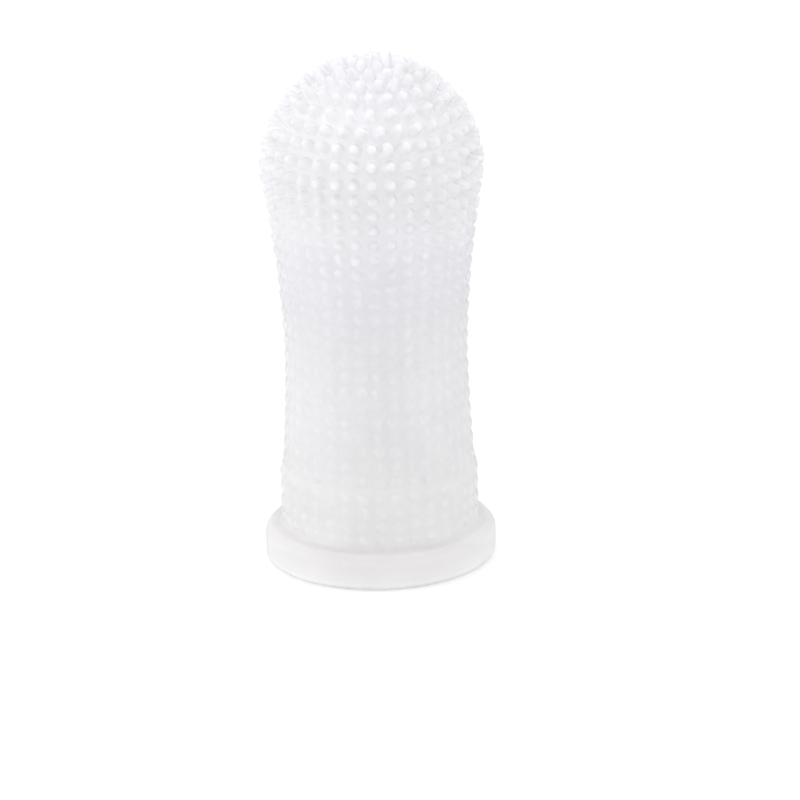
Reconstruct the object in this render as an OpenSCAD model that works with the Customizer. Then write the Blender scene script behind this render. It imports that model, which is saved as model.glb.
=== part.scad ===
// Finger toothbrush for pets: a soft silicone thimble with a thick rim, a
// slightly waisted sleeve and a domed head that carries cone bristles.
// Millimetres, +Z up, the rim stands on the z = 0 plane, the axis is Z.

/* [Rim] */
// Outer radius of the rim ring
rim_r = 12.3; // [11.8:0.1:13]
// Height of the rim ring
rim_h = 3.8; // [3:0.1:4.5]
// Edge radius at the top of the rim
rim_top_edge = 1.2; // [0.6:0.1:1.6]
// Edge radius at the foot of the rim
rim_foot_edge = 0.8; // [0.3:0.1:1.2]
// Edge radius of the mouth, where the finger goes in
mouth_edge = 0.6; // [0.3:0.1:0.8]

/* [Shell] */
// Height of the dome's centre above the table
head_z = 43.1; // [40:0.1:46]
// Outer radius of the head, without bristles
head_r = 10.6; // [10.3:0.1:11]
// Outer radius of the waist, without nubs
waist_r = 9.5; // [9.2:0.1:9.8]
// Outer radius of the sleeve just above the cuff
sleeve_r = 10.1; // [9.9:0.1:10.3]
// Outer radius of the cuff, the thicker band above the rim
cuff_r = 10.4; // [10.3:0.1:10.8]
// Edge radius at the top of the cuff
cuff_edge = 0.2; // [0.1:0.05:0.3]

/* [Finger bore] */
// Radius of the straight bore from the mouth to the neck
bore_r = 8; // [7.5:0.1:8.3]
// Radius of the bore at the waist, where it holds the finger
grip_r = 7.8; // [7.3:0.1:7.8]
// Radius of the cavity round the fingertip
tip_r = 8.4; // [8:0.1:8.8]

/* [Bristles] */
// Columns of bristles round the shell
columns = 36; // [24:6:42]
// Length of a bristle on the head
bristle_h = 1.3; // [0.8:0.1:1.6]
// Height of a nub on the sleeve
nub_h = 0.3; // [0.2:0.05:0.5]
// Radius of a head bristle at its root
bristle_root = 0.62; // [0.45:0.01:0.65]
// Radius of a head bristle at its tip
bristle_tip = 0.34; // [0.15:0.01:0.4]
// Radius of a sleeve nub at its root
nub_root = 0.55; // [0.4:0.01:0.6]
// Radius of a sleeve nub at its top
nub_tip = 0.3; // [0.15:0.01:0.35]

/* [Hidden] */
$fn = 96;
// rows of bristles on each band, counted from the mouth to the head
cuff_rows = 4;
lower_rows = 6;
neck_rows = 5;
upper_rows = 5;
shoulder_rows = 4;
rows = cuff_rows + lower_rows + neck_rows + upper_rows + shoulder_rows;
row_pitch = (head_z - rim_h - 0.06) / rows;
// planes where one band of the shell ends and the next begins
cuff_top = head_z - (rows - cuff_rows) * row_pitch;
neck_low = cuff_top + lower_rows * row_pitch;
neck_high = neck_low + neck_rows * row_pitch;
flex_z = (neck_low + neck_high) / 2;
// rings of bristles on the dome: first latitude and step, in degrees
ring_first = 4.4;
ring_step = 9.6;
// how far a bristle's root is sunk into the shell
sink = 0.2;

// clamped 0..1 and an S curve through it
function unit(t) = min(1, max(0, t));
function s_curve(t) = let(u = unit(t)) u * u * (3 - 2 * u);
// outer radius of the shell at height z, between the cuff and the dome
function shell_r(z) = waist_r
    + (sleeve_r - waist_r) * pow(unit((24 - z) / (24 - cuff_top)), 1.5)
    + (head_r - waist_r) * s_curve((z - 22.5) / (head_z - 22.5));
// radius of the bore at height z, above the neck's foot
function inner_r(z) = grip_r
    + (tip_r - grip_r) * s_curve((z - neck_high) / (head_z - neck_high));
// how long and how stout a bristle is at height z
function long_at(z) = pow(unit((z - 26) / (head_z - 26)), 3);
function height_at(z) = nub_h + (bristle_h - nub_h) * long_at(z);
function root_at(z) = nub_root + (bristle_root - nub_root) * long_at(z);
function tip_at(z) = nub_tip + (bristle_tip - nub_tip) * long_at(z);
// points on an arc of the profile
function arc(x, z, r, from, to, steps = 6) =
    [for (i = [0 : steps]) let(a = from + (to - from) * i / steps)
        [x + r * cos(a), z + r * sin(a)]];
// how many bristles a dome ring has at a latitude
function ring_count(lat) = lat < 28 ? columns : max(6, 6 * round(columns * cos(lat) / 6));

// a tube from z0 to z1 whose walls follow shell_r and inner_r
module waisted_tube(z0, z1, steps, inner = true) {
    outside = [for (i = [0 : steps]) let(z = z0 + (z1 - z0) * i / steps) [shell_r(z), z]];
    inside = inner
        ? [for (i = [steps : -1 : 0]) let(z = z0 + (z1 - z0) * i / steps) [inner_r(z), z]]
        : [[bore_r, z1], [bore_r, z0]];
    rotate_extrude() polygon(concat(outside, inside));
}

// one bristle along +X from the shell's surface, sunk into it by its root
module bristle(h, root, tip) {
    grow = (root - tip) * sink / h;
    translate([-sink, 0, 0]) rotate([0, 90, 0])
        cylinder(h = h + sink, r1 = min(root + grow, root * 1.25), r2 = tip, $fn = 24);
}

// rows first..first+count-1, counted up from the mouth
module flank_rows(first, count) {
    for (i = [first : first + count - 1])
        for (c = [0 : columns - 1]) {
            z = head_z - (rows - i - 0.5) * row_pitch;
            r = z < cuff_top ? cuff_r : shell_r(z);
            rotate([0, 0, c * 360 / columns]) translate([r, 0, z])
                bristle(height_at(z), root_at(z), tip_at(z));
        }
}

// dome rings first..last, counted up from the dome's equator
module dome_rings(first, last) {
    for (k = [first : last]) {
        lat = ring_first + k * ring_step;
        n = ring_count(lat);
        for (c = [0 : n - 1])
            translate([0, 0, head_z]) rotate([0, 0, c * 360 / n]) rotate([0, -lat, 0])
                translate([head_r, 0, 0]) bristle(bristle_h, bristle_root, bristle_tip);
    }
}

module rim_ring() {
    color([0.93, 0.92, 0.93]) rotate_extrude() polygon(concat(
        arc(bore_r + mouth_edge, mouth_edge, mouth_edge, 180, 270),
        arc(rim_r - rim_foot_edge, rim_foot_edge, rim_foot_edge, -90, 0),
        arc(rim_r - rim_top_edge, rim_h - rim_top_edge, rim_top_edge, 0, 90),
        [[bore_r, rim_h]]));
}

module cuff_band() {
    color([0.92, 0.92, 0.93]) rotate_extrude() polygon(concat(
        [[bore_r, rim_h], [cuff_r, rim_h]],
        arc(cuff_r - cuff_edge, cuff_top - cuff_edge, cuff_edge, 0, 90, 4),
        [[bore_r, cuff_top]]));
}

module lower_sleeve() {
    color([0.92, 0.92, 0.94]) waisted_tube(cuff_top, neck_low, 8, inner = false);
}

module flex_neck() {
    color([0.90, 0.90, 0.93]) waisted_tube(neck_low, neck_high, 8);
}

module upper_sleeve() {
    color([0.92, 0.92, 0.95]) waisted_tube(neck_high, head_z, 12);
}

module head_dome() {
    color([0.94, 0.94, 0.97]) translate([0, 0, head_z]) difference() {
        sphere(r = head_r);
        sphere(r = tip_r);
        translate([0, 0, -2 * head_r]) cylinder(h = 2 * head_r, r = 2 * head_r);
    }
}

module cuff_nubs() {
    color([0.95, 0.95, 0.96]) flank_rows(0, cuff_rows);
}

module lower_sleeve_nubs() {
    color([0.95, 0.95, 0.96]) flank_rows(cuff_rows, lower_rows);
}

module neck_nubs() {
    color([0.94, 0.94, 0.96]) flank_rows(cuff_rows + lower_rows, neck_rows);
}

module upper_sleeve_nubs() {
    color([0.95, 0.95, 0.97]) flank_rows(cuff_rows + lower_rows + neck_rows, upper_rows);
}

module shoulder_bristles() {
    color([0.96, 0.96, 0.98]) flank_rows(rows - shoulder_rows, shoulder_rows);
}

module dome_bristles_low() {
    color([0.96, 0.96, 0.99]) dome_rings(0, 2);
}

module dome_bristles_middle() {
    color([0.96, 0.96, 0.99]) dome_rings(3, 4);
}

module dome_bristles_high() {
    color([0.96, 0.96, 0.99]) dome_rings(5, 6);
}

module crown_bristles() {
    color([0.97, 0.97, 1]) {
        dome_rings(7, 8);
        translate([0, 0, head_z + head_r]) rotate([0, -90, 0])
            bristle(bristle_h, bristle_root, bristle_tip);
    }
}

rim_ring();
cuff_band();
lower_sleeve();
flex_neck();
upper_sleeve();
head_dome();
cuff_nubs();
lower_sleeve_nubs();
neck_nubs();
upper_sleeve_nubs();
shoulder_bristles();
dome_bristles_low();
dome_bristles_middle();
dome_bristles_high();
crown_bristles();
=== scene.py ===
import math
import random

import bpy
from mathutils import Matrix, Vector
from mathutils.geometry import delaunay_2d_cdt


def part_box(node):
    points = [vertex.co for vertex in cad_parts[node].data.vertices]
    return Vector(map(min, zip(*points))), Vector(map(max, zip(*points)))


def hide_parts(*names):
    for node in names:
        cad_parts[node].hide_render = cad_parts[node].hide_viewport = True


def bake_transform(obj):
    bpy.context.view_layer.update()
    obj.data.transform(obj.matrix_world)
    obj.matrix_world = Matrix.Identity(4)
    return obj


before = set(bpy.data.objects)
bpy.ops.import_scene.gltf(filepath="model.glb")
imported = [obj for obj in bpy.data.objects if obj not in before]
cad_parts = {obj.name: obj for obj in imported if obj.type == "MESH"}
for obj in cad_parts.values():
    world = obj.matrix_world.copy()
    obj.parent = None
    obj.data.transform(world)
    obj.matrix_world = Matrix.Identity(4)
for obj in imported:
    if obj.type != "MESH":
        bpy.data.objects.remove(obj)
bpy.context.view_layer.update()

MM = 0.001

# ---------------------------------------------------------------------------
# Sizes, in millimetres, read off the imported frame
# ---------------------------------------------------------------------------


def low_high(node):
    lo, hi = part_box(node)
    return [c / MM for c in lo], [c / MM for c in hi]


RIM_R, RIM_H = low_high("rim_ring")[1][0], low_high("rim_ring")[1][2]
CUFF_R, CUFF_TOP = low_high("cuff_band")[1][0], low_high("cuff_band")[1][2]
SLEEVE_R = low_high("lower_sleeve")[1][0]
NECK_LOW, NECK_HIGH = low_high("flex_neck")[0][2], low_high("flex_neck")[1][2]
HEAD_R, HEAD_Z = low_high("head_dome")[1][0], low_high("head_dome")[0][2]
TIP_TOP = low_high("crown_bristles")[1][2]
WAIST_R, BORE_R, GRIP_R, TIP_R = 9.5, 8.0, 7.8, 8.4
COLUMNS, ROWS = 36, 24
PITCH = (HEAD_Z - CUFF_TOP) / 20
NUB_H, BRISTLE_H = 0.3, TIP_TOP - HEAD_Z - HEAD_R
RING_FIRST, RING_STEP = 4.4, 9.6


def unit(t):
    return min(1.0, max(0.0, t))


def s_curve(t):
    t = unit(t)
    return t * t * (3 - 2 * t)


def shell_r(z):
    """Outer radius of the shell between the cuff and the dome."""
    return (
        WAIST_R
        + (SLEEVE_R - WAIST_R) * unit((24 - z) / (24 - CUFF_TOP)) ** 1.5
        + (HEAD_R - WAIST_R) * s_curve((z - 22.5) / (HEAD_Z - 22.5))
    )


def outer_r(z):
    """Outer radius from the rim up: the cuff is a little thicker and steps down softly to the sleeve."""
    if z >= CUFF_TOP + 0.45:
        return shell_r(z)
    if z <= CUFF_TOP - 0.45:
        return CUFF_R
    return CUFF_R + (shell_r(CUFF_TOP + 0.45) - CUFF_R) * s_curve((z - CUFF_TOP + 0.45) / 0.9)


def inner_r(z):
    """Radius of the bore; it eases from the straight bore to the grip and on to the tip cavity."""
    if z < NECK_LOW + 1.2:
        return BORE_R + (GRIP_R - BORE_R) * s_curve((z - NECK_LOW + 1.2) / 2.4)
    return GRIP_R + (TIP_R - GRIP_R) * s_curve((z - NECK_HIGH) / (HEAD_Z - NECK_HIGH))


def long_at(z):
    return unit((z - 26) / (HEAD_Z - 26)) ** 3


def meridian(s):
    """(radius, height) of the outer shell at s: the height up to the head's equator, then the arc over the dome."""
    if s <= HEAD_Z:
        return outer_r(s), s
    a = (s - HEAD_Z) / HEAD_R
    return HEAD_R * math.cos(a), HEAD_Z + HEAD_R * math.sin(a)


# ---------------------------------------------------------------------------
# Mesh making
# ---------------------------------------------------------------------------


class Skin:
    """Vertices, faces and two weights for each vertex: tip runs from 0 on the shell to 1 at the top of
    a nub or bristle, and peg is the same for the long bristles alone."""

    def __init__(self):
        self.v, self.f, self.tip, self.peg = [], [], [], []

    def add(self, x, y, z, tip=0.0, long=0.0):
        self.v.append((x, y, z))
        self.tip.append(tip)
        self.peg.append(tip * long)
        return len(self.v) - 1

    def ring(self, r, z, n, start=-5.0):
        return [
            self.add(r * math.cos(a), r * math.sin(a), z)
            for a in (math.radians(start + 360 * k / n) for k in range(n))
        ]

    def band(self, outer, inner):
        """Faces between two closed loops, both counter-clockwise seen from outside."""
        n, m = len(outer), len(inner)
        if n == m:
            for j in range(n):
                k = (j + 1) % n
                self.f.append((outer[j], outer[k], inner[k], inner[j]))
            return
        i = j = 0
        while i < n or j < m:
            if j == m or (i < n and (i + 1) / n <= (j + 1) / m):
                self.f.append((outer[i % n], outer[(i + 1) % n], inner[j % m]))
                i += 1
            else:
                self.f.append((outer[i % n], inner[(j + 1) % m], inner[j % m]))
                j += 1

    def fan(self, loop, centre):
        for j in range(len(loop)):
            self.f.append((loop[j], loop[(j + 1) % len(loop)], centre))

    def object(self, name):
        mesh = bpy.data.meshes.new(name)
        mesh.from_pydata([(x * MM, y * MM, z * MM) for x, y, z in self.v], [], self.f)
        mesh.polygons.foreach_set("use_smooth", [True] * len(mesh.polygons))
        rise = [z / TIP_TOP for _, _, z in self.v]
        for key, values in (("tip", self.tip), ("peg", self.peg), ("rise", rise)):
            mesh.attributes.new(key, "FLOAT", "POINT").data.foreach_set("value", values)
        mesh.validate()
        mesh.update()
        piece = bpy.data.objects.new(name, mesh)
        bpy.context.scene.collection.objects.link(piece)
        return piece


# One bristle from its foot on the shell to its tip: (distance from its axis, height, tip weight).
NUB_4 = [(0.72, 0.0, 0.0), (0.60, 0.045, 0.15), (0.47, 0.15, 0.55), (0.29, 0.26, 0.9)]
NUB_7 = [
    (0.72, 0.0, 0.0),
    (0.63, 0.03, 0.1),
    (0.55, 0.085, 0.3),
    (0.46, 0.16, 0.55),
    (0.36, 0.23, 0.78),
    (0.25, 0.275, 0.92),
    (0.13, 0.298, 1.0),
]
LONG_7 = [
    (0.78, 0.0, 0.0),
    (0.69, 0.06, 0.05),
    (0.63, 0.24, 0.2),
    (0.57, 0.62, 0.5),
    (0.50, 0.95, 0.75),
    (0.39, 1.17, 0.92),
    (0.20, 1.275, 1.0),
]
LONG_TOP = 1.30


def lerp(a, b, t):
    return a + (b - a) * t


def bristle_rings(t):
    rings = [tuple(lerp(p, q, t) for p, q in zip(n, l)) for n, l in zip(NUB_7, LONG_7)]
    return rings, lerp(0.305, LONG_TOP, t)


rng = random.Random(7)


def wobble(t):
    """A bristle's own small lean along and across, and its length: no two moulded bristles stand quite alike."""
    lean = lerp(0.012, 0.045, t)
    return rng.gauss(0, lean), rng.gauss(0, lean), 1 + max(-0.1, min(0.02, rng.gauss(-0.02, 0.03))) * t


def cell_row(skin, bottom, top, s0, s1, sc, m, where, rings, top_h, t, direction):
    """One row of cells, each with its bristle. bottom and top are the rings of shared vertices,
    where(theta, s) is the shell's surface, and direction(theta) is the way that bristles stand."""
    nb, nt = len(bottom) // COLUMNS, len(top) // COLUMNS
    sides = []
    for c in range(COLUMNS):
        theta = math.radians(-5 + 10 * c)
        side = []
        for j in range(1, m):
            side.append(skin.add(*where(theta, lerp(s0, s1, j / m))))
        sides.append(side)
    n = 4 * m
    for c in range(COLUMNS):
        right, left = sides[(c + 1) % COLUMNS], sides[c]
        low = [bottom[(c * nb + k) % len(bottom)] for k in range(nb + 1)]
        high = [top[(c * nt + k) % len(top)] for k in range(nt + 1)]
        loop = [low[-1], *right, high[-1], *high[-2:0:-1], high[0], *left[::-1], low[0], *low[1:-1]]
        theta = math.radians(10 * c)
        d = direction(theta)
        east = (-math.sin(theta), math.cos(theta), 0.0)
        north = (
            d[1] * east[2] - d[2] * east[1],
            d[2] * east[0] - d[0] * east[2],
            d[0] * east[1] - d[1] * east[0],
        )
        lean_e, lean_n, long = wobble(t)
        r_here = math.hypot(*where(theta, sc)[:2])
        before = loop
        for rho, h, tip in rings:
            here = []
            for j in range(n):
                a = math.radians(-45 + 360 * j / n)
                p = where(theta + rho * math.cos(a) / r_here, sc + rho * math.sin(a))
                hh = h * long
                here.append(
                    skin.add(
                        *(p[i] + d[i] * hh + (east[i] * lean_e + north[i] * lean_n) * hh for i in range(3)),
                        tip,
                        t,
                    )
                )
            skin.band(before, here)
            before = here
        p, hh = where(theta, sc), top_h * long
        centre = skin.add(
            *(p[i] + d[i] * hh + (east[i] * lean_e + north[i] * lean_n) * hh for i in range(3)), 1.0, t
        )
        skin.fan(before, centre)


def radial(theta):
    return math.cos(theta), math.sin(theta), 0.0


def on_shell(theta, s):
    r, z = meridian(s)
    return r * math.cos(theta), r * math.sin(theta), z


def row_centre(i):
    return HEAD_Z - (ROWS - i - 0.5) * PITCH


def scaled(rings, top, k):
    return [(rho, h * k, tip) for rho, h, tip in rings], top * k


# --- the rim ---------------------------------------------------------------


def arc(x, z, r, start, end, steps):
    return [
        (x + r * math.cos(math.radians(lerp(start, end, i / steps))),
         z + r * math.sin(math.radians(lerp(start, end, i / steps))))
        for i in range(steps + 1)
    ]


FILLET = 0.55


def rim_profile():
    """The outside of the rim, from the mouth's inner edge round its foot, its faintly crowned wall and
    its full round shoulder to the small fillet where the cuff rises out of it."""
    out = arc(BORE_R + 0.6, 0.6, 0.6, 180, 270, 5)
    out += [(10.0, 0.0)]
    out += arc(RIM_R - 0.8, 0.8, 0.8, -90, -8, 7)
    out += [(RIM_R - 0.01, 1.2), (RIM_R, 1.65), (RIM_R - 0.01, 2.15)]
    out += arc(RIM_R - 1.2, RIM_H - 1.2, 1.2, 8, 88, 9)
    out += arc(CUFF_R + FILLET, RIM_H + FILLET, -FILLET, 86, 10, 6)
    return out


# --- the sleeve, neck and bristled head ------------------------------------


def make_brush():
    """One continuous skin: the cuff, the waisted sleeve and the dome, every bristle grown out of it,
    and back down the bore to the rim."""
    skin = Skin()
    n3, n4 = 3 * COLUMNS, 4 * COLUMNS
    edges = [HEAD_Z - (ROWS - i) * PITCH for i in range(ROWS + 1)]
    edges[0] = max(edges[0], RIM_H + FILLET)
    mouth = below = None
    for r, z in rim_profile():
        above = skin.ring(r, z, n3)
        if below is None:
            mouth = above
        else:
            skin.band(below, above)
        below = above
    above = skin.ring(CUFF_R, edges[0], n3)
    skin.band(below, above)
    below = above
    for i in range(ROWS):
        s0, s1 = edges[i], edges[i + 1]
        fine = i >= 18
        r, z = meridian(s1)
        above = skin.ring(r, z, n4 if i >= 18 else n3)
        t, middle = long_at(row_centre(i)), row_centre(i)
        if fine:
            rings, top = bristle_rings(t)
        else:
            # the nubs are worn flatter towards the cuff
            flat = lerp(0.6, 1.0, s_curve((middle - 16) / 14))
            rings, top = scaled(NUB_4, 0.30, flat * lerp(NUB_H, BRISTLE_H, t) / NUB_H)
        if i == 0:
            # the lowest row stands close over the rim, so its nubs are a little smaller
            middle = (s0 + s1) / 2
            room = (middle - s0 - 0.04) / rings[0][0]
            rings = [(rho * min(1.0, room), h, tip) for rho, h, tip in rings]
        cell_row(skin, below, above, s0, s1, middle, 4 if fine else 3, on_shell, rings, top, t, radial)
        below = above

    # dome rings that keep the sleeve's columns
    rings, top = bristle_rings(1.0)
    step = HEAD_R * math.radians(RING_STEP)
    for k in range(3):
        lat = math.radians(RING_FIRST + k * RING_STEP)
        s0 = HEAD_Z if k == 0 else HEAD_Z + HEAD_R * math.radians(RING_FIRST + (k - 0.5) * RING_STEP)
        s1 = HEAD_Z + HEAD_R * math.radians(RING_FIRST + (k + 0.5) * RING_STEP)
        sc = HEAD_Z + HEAD_R * lat
        r, z = meridian(s1)
        above = skin.ring(r, z, n4)
        k_rings = rings
        cell_row(
            skin, below, above, s0, s1, sc, 4, on_shell, k_rings, top, 1.0,
            lambda th, lat=lat: (math.cos(lat) * math.cos(th), math.cos(lat) * math.sin(th), math.sin(lat)),
        )
        below = above
    crown(skin, below, rings, top)

    # down the inside
    n = n3
    inner = []
    for lat in (88, 84, 78, 70, 60, 50, 40, 30, 20, 10):
        a = math.radians(lat)
        inner.append((TIP_R * math.cos(a), HEAD_Z + TIP_R * math.sin(a)))
    z = HEAD_Z
    while z > 1.4:
        inner.append((inner_r(z), z))
        z -= 1.3 if z > 10 else 2.6
    pole = skin.add(0, 0, HEAD_Z + TIP_R)
    before = None
    for r, z in inner:
        loop = skin.ring(r, z, n)
        if before is None:
            for j in range(n):
                skin.f.append((loop[(j + 1) % n], loop[j], pole))
        else:
            skin.band(before, loop)
        before = loop
    skin.band(before, mouth)
    return skin.object("brush_skin")


def crown(skin, edge, rings, top):
    """The dome above the last full ring: bristles on rings with fewer and fewer members, and the
    shell between their feet."""
    half = math.pi / 2

    def onto_map(d):
        c = math.acos(max(-1.0, min(1.0, d[2])))
        s = math.hypot(d[0], d[1])
        return (c * d[0] / s, c * d[1] / s) if s > 1e-9 else (0.0, 0.0)

    dirs = []
    for k in range(3, 9):
        lat = RING_FIRST + k * RING_STEP
        count = max(6, 6 * math.floor(COLUMNS * math.cos(math.radians(lat)) / 6 + 0.5))
        for c in range(count):
            dirs.append((math.radians(lat), 2 * math.pi * c / count))
    dirs.append((half, 0.0))

    flat, ids, ring_of = [], [], []
    for i in edge:
        x, y, z = skin.v[i]
        z -= HEAD_Z
        flat.append(onto_map((x / HEAD_R, y / HEAD_R, z / HEAD_R)))
        ids.append(i)
        ring_of.append(-1)
    constraints = [(k, (k + 1) % len(edge)) for k in range(len(edge))]
    n = 16
    for b, (lat, az) in enumerate(dirs):
        d = Vector((math.cos(lat) * math.cos(az), math.cos(lat) * math.sin(az), math.sin(lat)))
        east = Vector((-math.sin(az), math.cos(az), 0.0))
        north = d.cross(east)
        lean_e, lean_n, long = wobble(1.0)
        before = None
        for rho, h, tip in rings:
            here = []
            for j in range(n):
                a = math.radians(-45 + 360 * j / n)
                turn = rho / HEAD_R
                base = d * math.cos(turn) + (east * math.cos(a) + north * math.sin(a)) * math.sin(turn)
                p = base * HEAD_R + (d + east * lean_e + north * lean_n) * (h * long)
                here.append(skin.add(p.x, p.y, p.z + HEAD_Z, tip, 1.0))
                if before is None:
                    flat.append(onto_map(base))
                    ids.append(here[-1])
                    ring_of.append(b)
            if before is None:
                first = len(flat) - n
                constraints += [(first + j, first + (j + 1) % n) for j in range(n)]
            else:
                skin.band(before, here)
            before = here
        p = d * HEAD_R + (d + east * lean_e + north * lean_n) * (top * long)
        skin.fan(before, skin.add(p.x, p.y, p.z + HEAD_Z, 1.0, 1.0))

    verts, _, faces, orig, _, _ = delaunay_2d_cdt([Vector(p) for p in flat], constraints, [], 0, 1e-9)
    back = [o[0] for o in orig]
    for face in faces:
        k = [back[i] for i in face]
        owners = {ring_of[i] for i in k}
        if len(owners) == 1 and -1 not in owners:
            continue
        (ax, ay), (bx, by), (cx, cy) = (flat[i] for i in k)
        tri = [ids[i] for i in k]
        area = (bx - ax) * (cy - ay) - (by - ay) * (cx - ax)
        if abs(area) < 1e-12:
            continue
        skin.f.append(tuple(tri if area > 0 else tri[::-1]))


brush = make_brush()

# ---------------------------------------------------------------------------
# Materials
# ---------------------------------------------------------------------------


# painted light: the tips of the long bristles are lifted to this near-white tone to brighten them and even out
# their light and shade
PAINTED_LIGHT_TIP_TONE = (0.995, 0.988, 1.0)


def silicone(name):
    """Milky satin silicone, slightly see-through: light goes some way in, and the cast is slightly cloudy
    with a fine mould grain. Painted shade and light by height: darker round the rim and sleeve, lighter
    and cooler towards the head, a little warm at the rim's foot; painted light lifts the long bristles' tips."""
    mat = bpy.data.materials.new(name)
    mat.use_nodes = True
    nt = mat.node_tree
    nt.nodes.clear()
    out = nt.nodes.new("ShaderNodeOutputMaterial")
    bsdf = nt.nodes.new("ShaderNodeBsdfPrincipled")
    nt.links.new(bsdf.outputs["BSDF"], out.inputs["Surface"])
    coords = nt.nodes.new("ShaderNodeTexCoord")

    def noise(scale, detail, rough=0.5):
        node = nt.nodes.new("ShaderNodeTexNoise")
        node.inputs["Scale"].default_value = scale
        node.inputs["Detail"].default_value = detail
        node.inputs["Roughness"].default_value = rough
        nt.links.new(coords.outputs["Object"], node.inputs["Vector"])
        return node

    def ramp(src, lo, hi, at=(0.0, 1.0)):
        node = nt.nodes.new("ShaderNodeValToRGB")
        node.color_ramp.elements[0].position = at[0]
        node.color_ramp.elements[1].position = at[1]
        node.color_ramp.elements[0].color = (*lo, 1)
        node.color_ramp.elements[1].color = (*hi, 1)
        nt.links.new(src, node.inputs["Fac"])
        return node

    def mix(kind, fac, a, b):
        node = nt.nodes.new("ShaderNodeMix")
        node.data_type = "RGBA"
        node.blend_type = kind
        for value, socket in ((fac, node.inputs[0]), (a, node.inputs[6]), (b, node.inputs[7])):
            if hasattr(value, "is_linked"):
                nt.links.new(value, socket)
            elif isinstance(value, (int, float)):
                socket.default_value = value
            else:
                socket.default_value = (*value, 1)
        return node.outputs[2]

    def attribute(key):
        node = nt.nodes.new("ShaderNodeAttribute")
        node.attribute_name = key
        return node.outputs["Fac"]

    # painted shade and light by height: darkest at the rim's shoulder and the crease where the cuff rises from it,
    # a darker grey over the sleeve, and lighter and cooler towards the head where the light falls strongest;
    # slightly warm at the rim's foot
    height = ramp(attribute("rise"), (0.985, 0.97, 0.968), (0.98, 0.974, 1.0))
    height.color_ramp.interpolation = "EASE"
    for at, colour in (
        (0.025, (0.868, 0.855, 0.853)),
        (0.046, (0.818, 0.806, 0.803)),
        (0.062, (0.776, 0.764, 0.761)),
        (0.078, (0.888, 0.878, 0.873)),
        (0.11, (0.850, 0.843, 0.837)),
        (0.22, (0.852, 0.850, 0.850)),
        (0.37, (0.878, 0.877, 0.881)),
        (0.55, (0.862, 0.859, 0.877)),
        (0.62, (0.878, 0.874, 0.893)),
        (0.70, (0.945, 0.939, 0.968)),
        (0.78, (0.990, 0.983, 1.0)),
    ):
        height.color_ramp.elements.new(at).color = (*colour, 1)
    # painted light: the long bristles' tips are mixed towards the near-white tip tone
    tone = mix("MIX", attribute("peg"), height.outputs["Color"], PAINTED_LIGHT_TIP_TONE)
    # cloudiness of the cast
    cloud = ramp(noise(160, 3).outputs["Fac"], (0.965, 0.965, 0.97), (1, 1, 1), (0.35, 0.65))
    tone = mix("MULTIPLY", 1.0, tone, cloud.outputs["Color"])
    speck = ramp(noise(2600, 2).outputs["Fac"], (0.985, 0.985, 0.985), (1, 1, 1), (0.3, 0.5))
    tone = mix("MULTIPLY", 1.0, tone, speck.outputs["Color"])
    nt.links.new(tone, bsdf.inputs["Base Color"])

    rough = nt.nodes.new("ShaderNodeMapRange")
    rough.inputs["From Min"].default_value = 0.3
    rough.inputs["From Max"].default_value = 0.7
    rough.inputs["To Min"].default_value = 0.52
    rough.inputs["To Max"].default_value = 0.66
    nt.links.new(noise(420, 3).outputs["Fac"], rough.inputs["Value"])
    nt.links.new(rough.outputs["Result"], bsdf.inputs["Roughness"])

    grain = nt.nodes.new("ShaderNodeBump")
    grain.inputs["Strength"].default_value = 0.25
    grain.inputs["Distance"].default_value = 0.00003
    nt.links.new(noise(5200, 2, 0.6).outputs["Fac"], grain.inputs["Height"])
    nt.links.new(grain.outputs["Normal"], bsdf.inputs["Normal"])

    bsdf.inputs["IOR"].default_value = 1.41
    bsdf.inputs["Specular IOR Level"].default_value = 0.3
    bsdf.inputs["Subsurface Weight"].default_value = 0.9
    bsdf.inputs["Subsurface Radius"].default_value = (1.0, 1.0, 1.0)
    bsdf.inputs["Subsurface Scale"].default_value = 0.003
    bsdf.inputs["Transmission Weight"].default_value = 0.4
    return mat


skin_mat = silicone("milky_silicone")
brush.data.materials.append(skin_mat)
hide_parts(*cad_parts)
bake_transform(brush)

# ---------------------------------------------------------------------------
# Floor, light and camera
# ---------------------------------------------------------------------------

floor_mesh = bpy.data.meshes.new("floor")
floor_mesh.from_pydata([(-4, -4, 0), (4, -4, 0), (4, 4, 0), (-4, 4, 0)], [], [(0, 1, 2, 3)])
floor = bpy.data.objects.new("floor", floor_mesh)
bpy.context.scene.collection.objects.link(floor)
floor_mat = bpy.data.materials.new("pale_floor")
floor_mat.use_nodes = True
fb = floor_mat.node_tree.nodes["Principled BSDF"]
fb.inputs["Base Color"].default_value = (0.58, 0.58, 0.58, 1)
fb.inputs["Emission Color"].default_value = (1.0, 1.0, 1.0, 1)
fb.inputs["Emission Strength"].default_value = 0.36
fb.inputs["Roughness"].default_value = 0.9
fb.inputs["Specular IOR Level"].default_value = 0.1
floor_mesh.materials.append(floor_mat)

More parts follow.
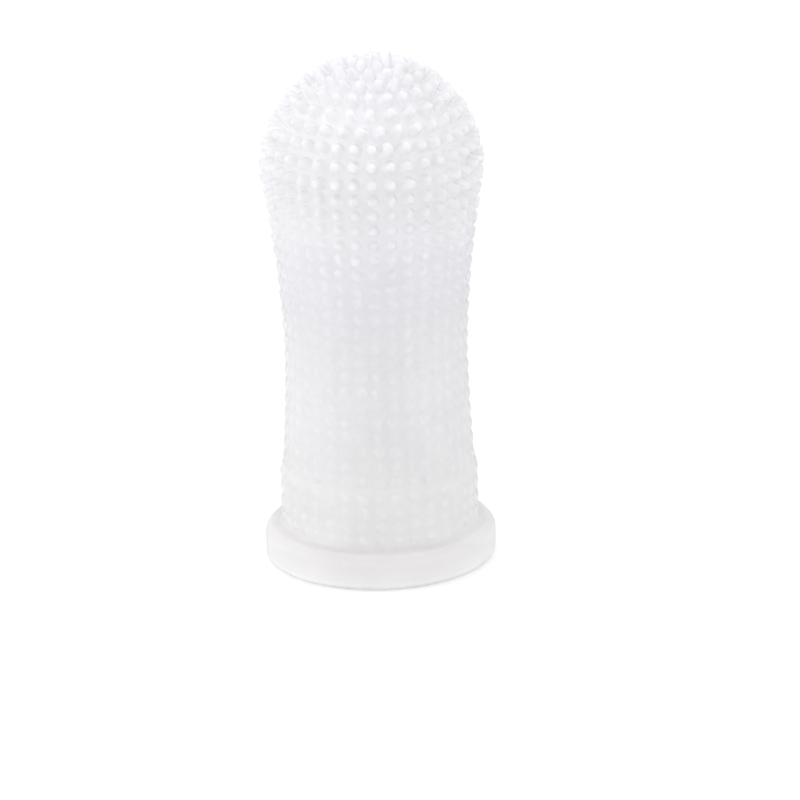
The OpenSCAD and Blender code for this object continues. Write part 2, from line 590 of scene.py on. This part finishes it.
world = bpy.data.worlds.new("studio")
bpy.context.scene.world = world
world.use_nodes = True
world.node_tree.nodes["Background"].inputs["Color"].default_value = (0.985, 0.984, 1.0, 1)
world.node_tree.nodes["Background"].inputs["Strength"].default_value = 0.61


def area(name, place, aim, size, watts, colour=(1, 1, 1)):
    light = bpy.data.lights.new(name, "AREA")
    light.shape = "DISK"
    light.size = size
    light.energy = watts
    light.color = colour
    lamp = bpy.data.objects.new(name, light)
    lamp.location = place
    lamp.rotation_euler = (Vector(aim) - Vector(place)).to_track_quat("-Z", "Y").to_euler()
    bpy.context.scene.collection.objects.link(lamp)
    return lamp


area("key", (-1.5, 0.0, 0.83), (0, 0, 0.03), 1.25, 13.6, (0.985, 0.984, 1.0))
area("fill", (1.5, 0.0, 0.705), (0, 0, 0.03), 1.25, 10.4, (0.985, 0.984, 1.0))
area("front", (-0.3, -1.75, 0.655), (0, 0, 0.03), 1.25, 11.7, (0.985, 0.984, 1.0))
area("top", (0.0, 0.25, 1.705), (0, 0, 0.03), 1.25, 12.9, (0.985, 0.984, 1.0))

ELEV, DIST, ROLL, SCALE_PX = math.radians(17.8), 0.5, math.radians(1.35), 9.48
cam_data = bpy.data.cameras.new("camera")
cam = bpy.data.objects.new("camera", cam_data)
bpy.context.scene.collection.objects.link(cam)
bpy.context.scene.camera = cam
cam_data.sensor_width = 36
cam_data.lens = SCALE_PX * 500 / 800 * 36
centre = Vector((0, 0, 0.0275))
forward = Vector((0, math.cos(ELEV), -math.sin(ELEV)))
right = Vector((1, 0, 0))
up = right.cross(forward)
eye = centre - forward * DIST
# the object stands up and to the left of the picture's middle
look = centre + (right * 22.5 - up * 94) / SCALE_PX * MM
f2 = (look - eye).normalized()
r2 = f2.cross(Vector((0, 0, 1))).normalized()
u2 = r2.cross(f2)
base = Matrix((r2, u2, -f2)).transposed()
cam.matrix_world = Matrix.Translation(eye) @ (base @ Matrix.Rotation(-ROLL, 3, "Z")).to_4x4()
cam_data.clip_start = 0.01
cam_data.clip_end = 20

bpy.context.scene.view_settings.view_transform = "Standard"
bpy.context.scene.view_settings.look = "None"
